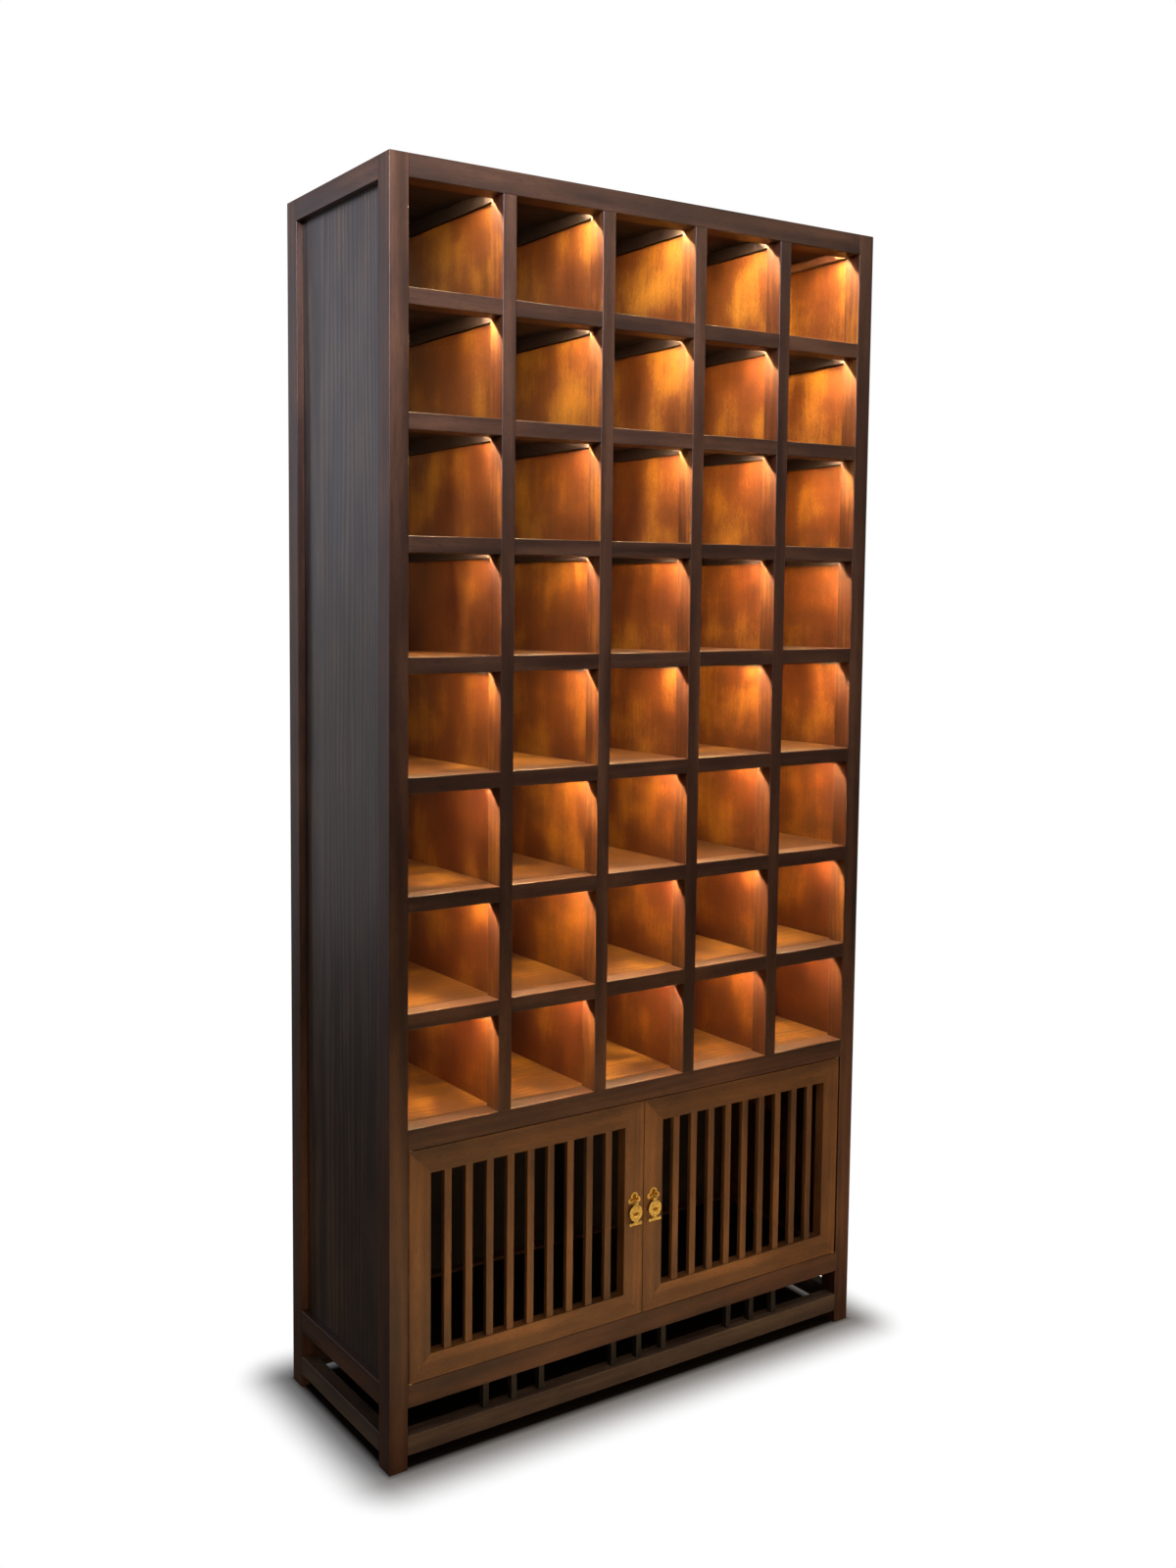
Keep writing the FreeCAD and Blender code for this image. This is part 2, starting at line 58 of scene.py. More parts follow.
# Camera
# It stands in front of the cabinet's left half at eye height, and looks a little down and
# to the right, as the photograph does.
photo_height_px = 1600
focal_px = 1487
axis_column_px = 400
axis_row_px = 734
photo_middle_px = (600, 800)
turned_right, tilted_down = 30.27, 4.47
camera_data = bpy.data.cameras.new("Camera")
camera_data.lens = camera_data.sensor_width * focal_px / photo_height_px
camera_data.shift_x = (photo_middle_px[0] - axis_column_px) / photo_height_px
camera_data.shift_y = (axis_row_px - photo_middle_px[1]) / photo_height_px
camera = bpy.data.objects.new("Camera", camera_data)
camera.location = (-1.900, -2.432, 1.613)
camera.rotation_euler = (radians(90 - tilted_down), 0, radians(-turned_right))
bpy.context.scene.collection.objects.link(camera)
bpy.context.scene.camera = camera


# Corner posts
# Four posts of dark walnut, 40 mm square, run from the floor to the top. They are planed,
# stained and sprayed with satin lacquer, and their edges are eased.
def linear(hex_colour):
    """A colour that is written as the screen shows it, for a shader's socket."""
    channels = [int(hex_colour[n:n + 2], 16) / 255 for n in (1, 3, 5)]
    return [c / 12.92 if c <= 0.04045 else ((c + 0.055) / 1.055) ** 2.4 for c in channels] + [1.0]


def add(tree, kind, inputs=None, stops=None, **settings):
    """Adds a node with its settings, and sets or links each input that is named."""
    new = tree.nodes.new("ShaderNode" + kind)
    for name, value in settings.items():
        setattr(new, name, value)
    for name, value in (inputs or {}).items():
        if isinstance(value, bpy.types.NodeSocket):
            tree.links.new(value, new.inputs[name])
        else:
            new.inputs[name].default_value = value
    for n, (position, colour) in enumerate(stops or []):
        element = new.color_ramp.elements[n] if n < 2 else new.color_ramp.elements.new(position)
        element.position = position
        element.color = colour
    return new


def surface(name):
    """A new material with its node tree and its shader."""
    material = bpy.data.materials.new(name)
    material.use_nodes = True
    return material, material.node_tree, material.node_tree.nodes["Principled BSDF"]


# Widths in metres of the growth rings, of the broad figure, and of the fine streaks and open
# pores in it, then each one's share of the tone beside the rings' own. Real walnut pores are a
# third as wide, but would be too fine to show.
ring_width, ring_wander = 0.014, 0.09
figure_width = 0.034
streak_width = 0.0030
pore_width = 0.0011
figure_share, cloud_share, streak_share, board_share = 0.95, 0.75, 0.28, 0.12
tone_reach = 0.32
pore_depth = 0.0003

# A wave texture of scale 1 has its rings 0.314 apart. Boards come from a log 8 m long. The
# clouds in the figure are twice as broad, but drawn out a fifth as much along the grain.
wave_period = 0.314
ring_twist = 13.0
log_length = 8.0
cloud_breadth = 2
cloud_shortening = 5


def walnut(name, grain, start, pitch, dark="#2A180E", mid="#412616", light="#5C3A24",
           roughness=0.45, spread=0.09, along_grain=0.07, specular=0.5,
           figure_size=figure_width, ring_share=0.13):
    """Lacquered walnut with its grain along one axis. Boards lie one to a cell of a grid, each
    cut from another part of the log, so figure and tone change from board to board."""
    material, tree, shader = surface(name)
    place = add(tree, "TexCoord").outputs["Object"]
    from_start = add(tree, "VectorMath", {0: place, 1: start}, operation="SUBTRACT").outputs[0]
    cell = add(tree, "VectorMath", {0: from_start, 1: pitch}, operation="SNAP").outputs[0]
    board = add(tree, "TexWhiteNoise", {"Vector": cell})
    half = [length / 2 for length in pitch]
    in_cell = add(tree, "VectorMath", {0: from_start, 1: cell}, operation="SUBTRACT").outputs[0]
    in_board = add(tree, "VectorMath", {0: in_cell, 1: half}, operation="SUBTRACT").outputs[0]
    draw = add(tree, "VectorMath", {0: board.outputs["Color"], 1: (0.5, 0.5, 0.5)},
               operation="SUBTRACT")
    log_size = [spread * 2] * 3
    log_size["xyz".index(grain)] = log_length
    in_log = add(tree, "VectorMath", {0: draw.outputs[0], 1: log_size, 2: in_board},
                 operation="MULTIPLY_ADD").outputs[0]
    squeeze = [1.0] * 3
    squeeze["xyz".index(grain)] = along_grain
    log = add(tree, "VectorMath", {0: in_log, 1: squeeze}, operation="MULTIPLY").outputs[0]
    squeeze["xyz".index(grain)] = along_grain * cloud_shortening
    short = add(tree, "VectorMath", {0: in_log, 1: squeeze}, operation="MULTIPLY").outputs[0]

    turns = wave_period / ring_width
    rings = add(tree, "TexWave", {"Vector": log, "Scale": turns, "Distortion": ring_twist,
                                  "Detail": 2.0, "Detail Scale": 1 / (turns * ring_wander),
                                  "Detail Roughness": 0.55},
                wave_type="RINGS", rings_direction=grain.upper(), wave_profile="SIN")
    figure = add(tree, "TexNoise", {"Vector": log, "Scale": 1 / figure_size, "Detail": 3.0,
                                    "Roughness": 0.5})
    clouds = add(tree, "TexNoise", {"Vector": short, "Scale": 1 / (cloud_breadth * figure_size),
                                    "Detail": 2.0})
    streaks = add(tree, "TexNoise", {"Vector": log, "Scale": 1 / streak_width, "Detail": 2.0,
                                     "Roughness": 0.6})
    pores = add(tree, "TexNoise", {"Vector": log, "Scale": 1 / pore_width, "Detail": 1.0,
                                   "Roughness": 0.4})

    tone = add(tree, "Math", {0: board.outputs["Value"], 1: board_share},
               operation="MULTIPLY").outputs[0]
    for source, share in ((rings, ring_share), (figure, figure_share), (clouds, cloud_share),
                          (streaks, streak_share)):
        tone = add(tree, "Math", {0: source.outputs["Fac"], 1: share, 2: tone},
                   operation="MULTIPLY_ADD").outputs[0]
    middle = (ring_share + figure_share + cloud_share + streak_share + board_share) / 2
    even = add(tree, "MapRange", {"Value": tone, "From Min": middle - tone_reach,
                                  "From Max": middle + tone_reach})
    colour = add(tree, "ValToRGB", {"Fac": even.outputs["Result"]},
                 stops=[(0.0, linear(dark)), (0.5, linear(mid)), (1.0, linear(light))])
    open_pores = add(tree, "ValToRGB", {"Fac": pores.outputs["Fac"]},
                     stops=[(0.31, (0.60, 0.56, 0.54, 1)), (0.40, (1, 1, 1, 1))])
    wood = add(tree, "Mix", {0: 1.0, 6: colour.outputs["Color"], 7: open_pores.outputs["Color"]},
               data_type="RGBA", blend_type="MULTIPLY")
    tree.links.new(wood.outputs[2], shader.inputs["Base Color"])

    shader.inputs["Specular IOR Level"].default_value = specular
    gloss = add(tree, "MapRange", {"Value": figure.outputs["Fac"],
                                   "From Min": 0.3, "From Max": 0.7,
                                   "To Min": roughness - 0.05, "To Max": roughness + 0.06})
    tree.links.new(gloss.outputs["Result"], shader.inputs["Roughness"])
    relief = add(tree, "Bump", {"Strength": 0.20, "Distance": pore_depth,
                                "Height": pores.outputs["Fac"]})
    tree.links.new(relief.outputs["Normal"], shader.inputs["Normal"])
    return material


def dress(names, material):
    """Gives CAD nodes their real finish."""
    for name in names:
        nodes[name].data.materials.clear()
        nodes[name].data.materials.append(material)


low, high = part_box("front_post_left")
post = high.x - low.x
front = low.y
cabinet_low, cabinet_high = Vector(cad_box[0]), Vector(cad_box[1])
width = cabinet_high.x - cabinet_low.x
depth = cabinet_high.y - front
height = cabinet_high.z
dress(["front_post_left", "front_post_right", "back_post_left", "back_post_right"],
      walnut("walnut_posts", "z", (post - width, front + post - depth / 2, -height),
             (width - post, depth - post, 2 * height)))


# Long rails of the front and back
# Walnut like the posts, tenoned into them: the top rail, the head rail over the doors and
# the lower rail under them. Each 100 mm of height is cut from another board.
rail_spacing = 0.1
long_boards = ((-width, front + post - depth / 2, 0), (2 * width, depth - post, rail_spacing))
dress(["top_front_rail", "top_back_rail", "door_head_rail", "back_middle_rail",
       "lower_front_rail", "lower_back_rail"], walnut("walnut_long_rails", "x", *long_boards))


# Side rails
# The same stock as the long rails and tenoned like them, with the grain from front to back.
# They hold the side panels at the top and at the bottom.
side_boards = ((post - width, -depth, 0), (width - post, 2 * depth, rail_spacing))
dress(["top_side_rails", "lower_side_rails"], walnut("walnut_side_rails", "y", *side_boards))


# Stretchers near the floor
# Rails of 38 by 30 mm, tenoned into the posts 28 mm off the floor. Their tone is greyer and a
# little paler than the rest: painted shade of the dull grey light near the floor.
floor_shade_tones = {"dark": "#30241D", "mid": "#483930", "light": "#63513F"}
dress(["floor_stretcher_front", "floor_stretcher_back"],
      walnut("walnut_front_stretchers", "x", *long_boards, **floor_shade_tones))
dress(["floor_stretchers_side"],
      walnut("walnut_side_stretchers", "y", *side_boards, **floor_shade_tones))


# Bearers
# Sticks of walnut from front to back that carry the shelves, sanded, with one thin coat of
# lacquer. Their near-black colour, like the shelves' undersides, is painted shade.
dress(["side_bearers", "shelf_bearers"],
      walnut("walnut_bearers", "y", *side_boards, dark="#0A0606", mid="#0F0909",
             light="#160E0C", roughness=0.5, specular=0.3))


# Lattice
# Posts of 30 mm stand on the head rail between five columns of cells, and short rails join
# them under each of the eight rows but the lowest. They have the posts' satin lacquer.
columns, rows = 5, 8
lattice = 0.030
low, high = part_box("lattice_posts")
column_pitch = (high.x - low.x - lattice) / (columns - 2)
first_column = -columns / 2 * column_pitch
dress(["lattice_posts"],
      walnut("walnut_lattice_posts", "z",
             (low.x + lattice / 2 - column_pitch / 2, -depth, -height),
             (column_pitch, 2 * depth, 2 * height)))
low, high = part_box("shelf_front_rails")
row_pitch = (high.z - low.z - lattice) / (rows - 2)
row_start = low.z + lattice / 2 - row_pitch / 2
dress(["shelf_front_rails"],
      walnut("walnut_shelf_rails", "x", (first_column, -depth, row_start),
             (column_pitch, 2 * depth, row_pitch)))


# Side and back panels
# Walnut veneer on board, 12 mm thick at the sides and 9 mm at the back, let into grooves in
# the posts and rails. The grain is upright, and the back's leaves are as wide as the columns.
dress(["side_panel_left", "side_panel_right"],
      walnut("walnut_veneer_sides", "z", (-width, -depth, -height),
             (width, 2 * depth, 2 * height), dark="#261A14", mid="#3A2A21", light="#54402F",
             roughness=0.36, spread=0.14, ring_share=0.40))
dress(["back_panel_upper", "back_panel_lower"],
      walnut("walnut_veneer_backs", "z", (first_column, -depth, -height),
             (column_pitch, 2 * depth, 2 * height), dark="#24150C", mid="#382214",
             light="#4A301D", spread=0.10))


# Shelves, top and cupboard floor
# Veneered board with the grain along the cabinet. The undersides are painted nearly black as
# painted shade, so the ceiling of a cell reads dark, and so is the inside of the cupboard.
underside_shade_cover = 0.97
straight_on = 0.9
shelf_boards = ((-width, -depth, row_start), (2 * width, 2 * depth, row_pitch))
shelf_veneer = walnut("walnut_veneer_shelves", "x", *shelf_boards, dark="#200F05",
                      mid="#402309", light="#704A16", roughness=0.5, spread=0.12,
                      along_grain=0.30, specular=0.3, figure_size=0.06)
tree = shelf_veneer.node_tree
shader = tree.nodes["Principled BSDF"]
veneer = shader.inputs["Base Color"].links[0].from_socket
# Painted shade: faces that look down are mixed nearly all the way to black.
facing = add(tree, "SeparateXYZ", {0: add(tree, "NewGeometry").outputs["Normal"]})
below = add(tree, "Math", {0: facing.outputs["Z"], 1: -0.5}, operation="LESS_THAN")
painted_shade = add(tree, "Mix", {0: underside_shade_cover, 6: veneer, 7: linear("#0B0709")}, data_type="RGBA")
shelf_colour = add(tree, "Mix", {0: below.outputs[0], 6: veneer, 7: painted_shade.outputs[2]},
                   data_type="RGBA")
tree.links.new(shelf_colour.outputs[2], shader.inputs["Base Color"])
dress(["shelf_panels", "cupboard_top_panel"], shelf_veneer)


def dress_faces(mesh, material, chosen):
    """Gives the faces of a CAD node's mesh that are chosen another finish than the rest."""
    mesh.materials.append(material)
    for face in mesh.polygons:
        if chosen(face):
            face.material_index = len(mesh.materials) - 1


dress(["top_panel"], walnut("walnut_veneer_top", "x", *long_boards))
# The top's underside takes the shelves' veneer with its painted shade.
dress_faces(nodes["top_panel"].data, shelf_veneer, lambda face: face.normal.z < -straight_on)
# Painted shade: the cupboard's floor and the inner face of its back are nearly black.
cupboard_painted_shade = walnut("walnut_cupboard_inside", "x", *shelf_boards, dark="#090504",
                        mid="#0F0907", light="#180F0B", roughness=0.6, specular=0.2)
dress(["cupboard_floor"], cupboard_painted_shade)
dress_faces(nodes["back_panel_lower"].data, cupboard_painted_shade,
            lambda face: face.normal.y < -straight_on)


# Dividers
# Veneered board, 14 mm thick, upright between the cells, each with another leaf of veneer. The
# inner faces of the side panels have such leaves too, and those of the posts a lighter, warmer
# tone, all under gloss lacquer, which is thicker on the posts. That lighter tone is painted light
# of the cell lamps. The veneer is painted lighter towards the right-hand cells, most near the
# top, and darker and redder towards the bottom, as painted light and shade.
low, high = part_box("dividers")
first_divider = low.x - column_pitch / 2
divider_veneer_painted_light = walnut("walnut_veneer_dividers", "z",
                        (first_divider, -depth, row_start + row_pitch / 2),
                        (column_pitch, 2 * depth, row_pitch), dark="#2A1005", mid="#43240C",
                        light="#6C4A14", roughness=0.5, spread=0.12, along_grain=0.30,
                        specular=0.25, figure_size=0.075, ring_share=0.03)
# The posts' inner faces: a lighter, warmer walnut that is painted light of the cell lamps.
post_sides_painted_light = walnut("walnut_post_sides", "z", (first_divider, -depth, -height),
                    (column_pitch, 2 * depth, 2 * height), dark="#32150A", mid="#4B2712",
                    light="#724A1A", roughness=0.5, along_grain=0.16, specular=0.25)
for material, coat in ((divider_veneer_painted_light, 0.5), (post_sides_painted_light, 1.0)):
    shader = material.node_tree.nodes["Principled BSDF"]
    shader.inputs["Coat Weight"].default_value = coat
    shader.inputs["Coat Roughness"].default_value = 0.22


def paint_light_and_shade(material, first, last, at_bottom, at_top):
    """Painted light: wood lighter from first to last along X, by a share that changes with height
    (darker where it is below zero).
    """
    tree = material.node_tree
    shader = tree.nodes["Principled BSDF"]
    wood = shader.inputs["Base Color"].links[0].from_socket
    place = add(tree, "SeparateXYZ", {0: add(tree, "TexCoord").outputs["Object"]})
    along = add(tree, "MapRange", {"Value": place.outputs["X"], "From Min": first,
                                   "From Max": last})
    up = add(tree, "MapRange", {"Value": place.outputs["Z"], "From Min": low.z,
                                "From Max": high.z, "To Min": at_bottom, "To Max": at_top})
    more = add(tree, "Math", {0: along.outputs[0], 1: up.outputs[0], 2: 1.0},
               operation="MULTIPLY_ADD")
    lit = add(tree, "VectorMath", {0: wood, "Scale": more.outputs[0]}, operation="SCALE")
    tree.links.new(lit.outputs[0], shader.inputs["Base Color"])


def paint_shade_below(material, tint):
    """Painted shade: darkens the wood with a tint that fades out towards the top."""
    tree = material.node_tree
    shader = tree.nodes["Principled BSDF"]
    wood = shader.inputs["Base Color"].links[0].from_socket
    place = add(tree, "SeparateXYZ", {0: add(tree, "TexCoord").outputs["Object"]})
    up = add(tree, "MapRange", {"Value": place.outputs["Z"], "From Min": low.z,
                                "From Max": high.z})
    painted_shade = add(tree, "Mix", {0: up.outputs[0], 6: tint, 7: (1, 1, 1, 1)}, data_type="RGBA")
    deep = add(tree, "Mix", {0: 1.0, 6: wood, 7: painted_shade.outputs[2]}, data_type="RGBA",
               blend_type="MULTIPLY")
    tree.links.new(deep.outputs[2], shader.inputs["Base Color"])


# Painted light and shade on the cell walls and on the posts' inner faces.
paint_light_and_shade(divider_veneer_painted_light, low.x, width / 2, at_bottom=-0.3, at_top=1.4)
paint_shade_below(divider_veneer_painted_light, (0.95, 0.66, 0.55, 1))
paint_shade_below(post_sides_painted_light, (0.45, 0.36, 0.32, 1))
dress(["dividers"], divider_veneer_painted_light)
# The side panels' and corner posts' inner faces take the cells' painted light and shade.
for name, material in (("side_panel_left", divider_veneer_painted_light), ("side_panel_right", divider_veneer_painted_light),
                       ("front_post_left", post_sides_painted_light), ("front_post_right", post_sides_painted_light)):
    dress_faces(nodes[name].data, material,
                lambda face: abs(face.normal.x) > straight_on
                and face.normal.x * face.center.x < 0)
dress_faces(nodes["lattice_posts"].data, post_sides_painted_light,
            lambda face: abs(face.normal.x) > straight_on)


# Light bars
# Anodised aluminium bars on the underside of each panel, close behind the front rail. Fine
# drawing lines run along them.
drawing_lines_per_metre = 1500.0
lines_drawn_out = 0.02
anodised, tree, shader = surface("anodised_aluminium")
shader.inputs["Base Color"].default_value = linear("#A9A7A3")
shader.inputs["Metallic"].default_value = 1.0
place = add(tree, "TexCoord").outputs["Object"]
drawn = add(tree, "VectorMath", {0: place, 1: (lines_drawn_out, 1, 1)},
            operation="MULTIPLY").outputs[0]
lines = add(tree, "TexNoise", {"Vector": drawn, "Scale": drawing_lines_per_metre, "Detail": 2.0})
gloss = add(tree, "MapRange", {"Value": lines.outputs["Fac"], "To Min": 0.30, "To Max": 0.50})
tree.links.new(gloss.outputs["Result"], shader.inputs["Roughness"])
dress(["light_bars"], anodised)


# Diffusers
# Narrow strips of opal plastic under the bars. They throw warm light down into each cell, most
# of it from the face towards the front rail, which cuts it off at about 45 degrees.
def opal(name, strength):
    """Opal plastic, lit from within."""
    plastic, tree, shader = surface(name)
    shader.inputs["Base Color"].default_value = linear("#F1E2C4")
    shader.inputs["Roughness"].default_value = 0.5
    shader.inputs["Emission Color"].default_value = linear("#FFDDA8")
    shader.inputs["Emission Strength"].default_value = strength
    return plastic


dress(["light_diffusers"], opal("opal_plastic", 2600.0))
dress_faces(nodes["light_diffusers"].data, opal("opal_plastic_front", 4600.0),
            lambda face: face.normal.y < -straight_on)


# Doors
# Mitred walnut frames, 22 mm thick, with nine upright slats each, set 3 mm back. The doors'
# walnut is a little lighter and yellower than the frame's.
door_tones = {"dark": "#3E2611", "mid": "#5E3C1D", "light": "#7C522B"}
slats = 9
slat = 0.016
between_door_rails = height / 6
for side in ("left", "right"):
    low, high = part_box(side + "_door_top_rail")
    middle = (low.x + high.x) / 2
    dress([side + "_door_hinge_stile", side + "_door_meeting_stile"],
          walnut("walnut_%s_stiles" % side, "z", (middle - width, -depth, -height),
                 (width, 2 * depth, 2 * height), **door_tones))
    dress([side + "_door_top_rail", side + "_door_bottom_rail"],
          walnut("walnut_%s_door_rails" % side, "x", (middle - width / 2, -depth, 0),
                 (width, 2 * depth, between_door_rails), **door_tones))
    low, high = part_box(side + "_door_slats")
    slat_pitch = (high.x - low.x - slat) / (slats - 1)
    dress([side + "_door_slats"],
          walnut("walnut_%s_slats" % side, "z",
                 (low.x + slat / 2 - slat_pitch / 2, -depth, -height),
                 (slat_pitch, 2 * depth, 2 * height), **door_tones))


# Base struts
# Nine short sticks of walnut in three groups between the lower rail and the stretcher, 66 mm
# apart, each from its own board. Their near-black colour is painted shade: the base looks open.
board_cell = 0.06
low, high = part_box("base_struts")
dress(["base_struts"],
      walnut("walnut_struts", "z", (low.x - board_cell / 3, -depth, -height),
             (board_cell, 2 * depth, 2 * height), dark="#0C0807", mid="#130E0B",
             light="#1C1512"))


# Pivots, pins and studs
# Turned brass, polished and then lacquered. The lacquer has dulled it a little, in blotches
# about 4 mm wide.
blotches_per_metre = 260.0


def brass(name, low_tone, high_tone, rough, fine):
    """Brass with blotches of tarnish, duller where it is darker."""
    metal, tree, shader = surface(name)
    shader.inputs["Metallic"].default_value = 1.0
    place = add(tree, "TexCoord").outputs["Object"]
    tarnish = add(tree, "TexNoise", {"Vector": place, "Scale": blotches_per_metre, "Detail": 4.0})
    tint = add(tree, "ValToRGB", {"Fac": tarnish.outputs["Fac"]},
               stops=[(0.35, linear(low_tone)), (0.65, linear(high_tone))])
    tree.links.new(tint.outputs["Color"], shader.inputs["Base Color"])
    polish = add(tree, "MapRange", {"Value": tarnish.outputs["Fac"],
                                    "To Min": rough, "To Max": fine})
    tree.links.new(polish.outputs["Result"], shader.inputs["Roughness"])
    return metal


polished_brass = brass("polished_lacquered_brass", "#CCA64A", "#F6DF8C", 0.46, 0.28)
tarnished_brass = brass("tarnished_brass", "#8A5A14", "#A8742A", 0.60, 0.45)
dress([name for name in nodes if "handle" in name or "pivot" in name], polished_brass)


# Handle plates
# Small brass castings, polished on the raised parts and dark in the hollow: a cloud of lobes
# with a raised rim, two ears for the pin, and a stud that goes through the stile.
mm = 0.001
pin_out = 7.0
eye_half = 2.7
ear_gap, ear_thickness, ear_radius, ear_edge = 0.3, 2.0, 3.0, 0.3
rim_height, rim_edge = 2.3, 0.6
hollow_height, hollow_inset, hollow_edge = 1.1, 1.0, 0.2
plate_lobes = [(0, 13, 9), (10, 5, 6), (-10, 5, 6), (0, 0, 6.5)]
plate_middle = 6
hollow_lobes = [(0, 14, 5), (7.5, 7, 3.4), (-7.5, 7, 3.4), (0, 9, 4.6)]
hollow_middle = 9
stud_y, stud_radius, stud_length, stud_in_plate, stud_edge = 10.0, 2.0, 25.2, 0.5, 0.2
weld = 0.0005
crease = 40


# Castings are drawn in mm, with X across, Y up from the pin and Z out of the door.
def ellipse(y, half_width, half_height, x=0.0, count=64):
    """The outline of an ellipse."""
    turns = [2 * pi * n / count for n in range(count)]
    return [(x + half_width * cos(turn), y + half_height * sin(turn)) for turn in turns]


def cloud(lobes, middle_y, inset=0.0, count=160):
    """The outline of discs that overlap: the farthest edge in each direction."""
    points = []
    for n in range(count):
        ray = Vector((cos(2 * pi * n / count), sin(2 * pi * n / count)))
        farthest = 0.0
        for x, y, radius in lobes:
            centre = Vector((x, y - middle_y))
            along = centre.dot(ray)
            aside = centre.length_squared - along * along
            if aside < radius * radius:
                farthest = max(farthest, along + (radius * radius - aside) ** 0.5)
        points.append(((farthest - inset) * ray.x, middle_y + (farthest - inset) * ray.y))
    return points


def casting(outlines, back, thickness, edge):
    """The first outline less the others, with rounded edges, as a mesh in mm."""
    curve = bpy.data.curves.new("outline", "CURVE")
    curve.dimensions = "2D"
    curve.fill_mode = "BOTH"
    curve.bevel_depth = edge
    curve.bevel_resolution = 3
    curve.offset = -edge
    curve.extrude = thickness / 2 - edge
    for outline in outlines:
        spline = curve.splines.new("POLY")
        spline.points.add(len(outline) - 1)
        spline.use_cyclic_u = True
        for point, (x, y) in zip(spline.points, outline):
            point.co = (x, y, 0, 1)
    drawn = bpy.data.objects.new("outline", curve)
    mesh = bpy.data.meshes.new_from_object(drawn)
    bpy.data.objects.remove(drawn)
    mesh.transform(Matrix.Translation((0, 0, back + thickness / 2)))
    return mesh


def crosswise(mesh):
    """Turns a casting so that its drawing faces along the pin: its Y stays, its X points out."""
    mesh.transform(Matrix(((0, 0, 1, 0), (0, 1, 0, 0), (-1, 0, 0, 0), (0, 0, 0, 1))))
    return mesh


def assembled(name, side, body, node, bright, dark):
    """Joins castings into one piece, stood up on the door and riding on its body."""
    low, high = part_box(side + "_handle_pin")
    pin = (low + high) / 2
    upright = Matrix(((mm, 0, 0, pin.x), (0, 0, -mm, pin.y + pin_out * mm),
                      (0, mm, 0, pin.z), (0, 0, 0, 1)))
    joined = bmesh.new()
    for slot, castings in enumerate((bright, dark)):
        for mesh in castings:
            before = len(joined.faces)
            joined.from_mesh(mesh)
            joined.faces.ensure_lookup_table()
            for face in joined.faces[before:]:
                face.material_index = slot
                face.smooth = True
    bmesh.ops.remove_doubles(joined, verts=joined.verts, dist=weld)
    bmesh.ops.recalc_face_normals(joined, faces=joined.faces)
    bmesh.ops.transform(joined, matrix=upright, verts=joined.verts)
    shape = bpy.data.meshes.new(name)
    joined.to_mesh(shape)
    joined.free()
    shape.set_sharp_from_angle(angle=radians(crease))
    shape.materials.append(polished_brass)
    shape.materials.append(tarnished_brass)
    piece = bpy.data.objects.new(name, shape)
    bpy.context.scene.collection.objects.link(piece)
    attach(piece, body)
    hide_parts(node)


ear_low = eye_half + ear_gap
ear_outline = [(0, -ear_radius), (0, ear_radius), (-pin_out, ear_radius)]
ear_outline += [(-pin_out - ear_radius * sin(pi * n / 16), ear_radius * cos(pi * n / 16))
                for n in range(1, 16)]
ear_outline += [(-pin_out, -ear_radius)]
for side in ("left", "right"):
    plate = casting([cloud(plate_lobes, plate_middle), cloud(hollow_lobes, hollow_middle)],
                    0, rim_height, rim_edge)
    ears = [crosswise(casting([ear_outline], back, ear_thickness, ear_edge))
            for back in (ear_low, -ear_low - ear_thickness)]
    stud = casting([ellipse(stud_y, stud_radius, stud_radius)],
                   -stud_length, stud_length + stud_in_plate, stud_edge)
    hollow = casting([cloud(plate_lobes, plate_middle, hollow_inset)],
                     0, hollow_height, hollow_edge)
    assembled(side + "_handle_plate_casting", side, side + "_door", side + "_handle_plate",
              [plate, *ears, stud], [hollow])


# Handle pendants
# Castings of the same brass, hung from the pins by an eye: an oval with a rounded rim, a bead
# over a small sunk window that is dark inside, a waist, and a foot with thick round ends.
pendant_back = 5.5
eye_edge, pin_hole = 0.3, 1.36
neck_layer = (0.1, 2.8, 0.4)
ring_y, ring_half_width, ring_half_height, ring_rim = -20.0, 16.5, 17.0, 3.2
ring_layer = (0, 3.2, 1.2)
web_inset, web_layer = 1, (0.3, 1.8, 0.3)
window_y, window_half_width, window_half_height, window_lip = -21.5, 7.5, 3.2, 1.2
lip_layer = (0.8, 1.9, 0.5)
pane_overlap, pane_layer = 0.6, (0.1, 1.0, 0.1)
bead_y, bead_radius, bead_layer = -12.5, 2.8, (1.5, 1.9, 0.9)
waist_layer = (0.1, 2.8, 0.6)
foot_y, foot_half, foot_half_height, foot_end = -42.25, 17.0, 3.1, 3.75
foot_layer = (0, 3.2, 1.1)


def dumbbell(y, half_length, half_height, end_radius):
    """The outline of a bar whose round ends are thicker than it is."""
    centre = half_length - end_radius
    swing = pi - asin(half_height / end_radius)
    turns = [swing * n / 12 for n in range(-12, 13)]
    right = [(centre + end_radius * cos(turn), y + end_radius * sin(turn)) for turn in turns]
    return right + [(-x, 2 * y - point_y) for x, point_y in right]


def layered(outlines, layer):
    """A form of the pendant. Its layer says how far its back lies in front of the pendant's
    back, how thick it is, and how much its edges are rounded."""
    raised, thickness, edge = layer
    return casting(outlines, pendant_back + raised, thickness, edge)


